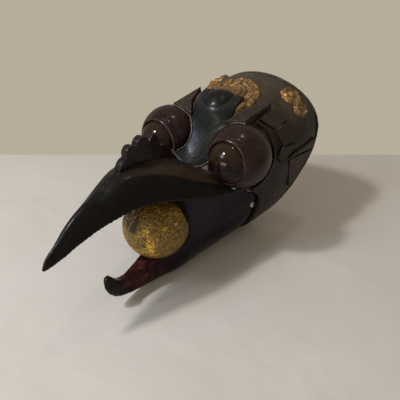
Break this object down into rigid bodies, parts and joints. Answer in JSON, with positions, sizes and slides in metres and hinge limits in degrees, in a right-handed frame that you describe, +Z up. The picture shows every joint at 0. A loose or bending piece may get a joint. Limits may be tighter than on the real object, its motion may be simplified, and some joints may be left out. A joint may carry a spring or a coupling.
{
  "type": "plague doctor mask",
  "caption": "Bird-beaked costume mask with a hinged lower jaw that carries a gilded ball, domed eyes under hoods, a beak comb and gilded leaf ornaments.",
  "frame": {"origin": "bottom centre of the bounding box: midway between the beak tip and the rear rim, on the middle plane, at the level the mask stands on", "axes": "+Z up as the mask stands, -Y towards the beak's tip, +X towards the wearer's left-hand side seen from the front on the right"},
  "size_m": [0.196, 0.414, 0.227],
  "materials": {
    "shell_lacquer": "satin lacquer over papier mache, fine brush lines",
    "beak_lacquer": "semi-gloss lacquer, nearly black olive",
    "crest_lacquer": "semi-gloss lacquer, purple brown",
    "nose_lacquer": "satin lacquer, grey teal",
    "boss_lacquer": "gloss lacquer, dark brown",
    "gold_leaf": "gold leaf with dark patina",
    "ball_gold": "rough granular gold leaf with dark patina",
    "hood_lacquer": "gloss lacquer, brown to purple",
    "lens_amethyst": "polished, dark amethyst",
    "retainer_plastic": "matt black",
    "plate_walnut": "brushed paint with wood grain",
    "jaw_lacquer": "gloss lacquer, maroon to black",
    "dowel_wood": "bare beech",
    "steel": "brushed",
    "washer_nylon": "natural nylon",
    "felt": "dense wool felt",
    "strap_leather": "oiled leather",
    "rivet_brass": "satin"
  },
  "bodies": {
    "head": {"face_shell": "shell_lacquer", "rear_rim_binding": "shell_lacquer", "upper_beak": "beak_lacquer", "beak_crest": "crest_lacquer", "nose_bridge": "nose_lacquer", "forehead_boss": "boss_lacquer", "forehead_wreath": "gold_leaf", "forehead_medallion": "gold_leaf", "forehead_pad": "felt", "crown_anchor": "steel", "head_strap": "strap_leather", "crown_strap": "strap_leather", "strap_rivets": "rivet_brass", "temple_rosette_right": "gold_leaf", "temple_rosette_left": "gold_leaf", "eye_hood_right": "hood_lacquer", "eye_hood_left": "hood_lacquer", "eye_lens_right": "lens_amethyst", "eye_lens_left": "lens_amethyst", "lens_retainer_right": "retainer_plastic", "lens_retainer_left": "retainer_plastic", "socket_ring_right": "hood_lacquer", "socket_ring_left": "hood_lacquer", "cheek_pad_right": "felt", "cheek_pad_left": "felt", "strap_anchor_right": "steel", "strap_anchor_left": "steel", "hinge_bracket_right": "steel", "hinge_bracket_left": "steel", "jaw_pivot_bolt_right": "steel", "jaw_pivot_bolt_left": "steel", "jaw_pivot_nut_right": "steel", "jaw_pivot_nut_left": "steel", "friction_washer_right": "washer_nylon", "friction_washer_left": "washer_nylon", "brow_leaf_right": "plate_walnut", "brow_leaf_left": "plate_walnut", "temple_plate_upper_right": "plate_walnut", "temple_plate_upper_left": "plate_walnut", "temple_plate_middle_right": "plate_walnut", "temple_plate_middle_left": "plate_walnut", "temple_plate_lower_right": "plate_walnut", "temple_plate_lower_left": "plate_walnut", "cheek_bar_right": "plate_walnut", "cheek_bar_left": "plate_walnut", "cheek_plate_right": "plate_walnut", "cheek_plate_left": "plate_walnut"},
    "jaw": {"lower_jaw": "jaw_lacquer", "gilded_ball": "ball_gold", "ball_dowel": "dowel_wood"}
  },
  "joints": [
    {"name": "jaw_hinge", "type": "hinge", "parent": "head", "child": "jaw", "pos_m": [0, 0.078, 0.076], "axis": [1, 0, 0], "range_deg": [0, 12]}
  ]
}
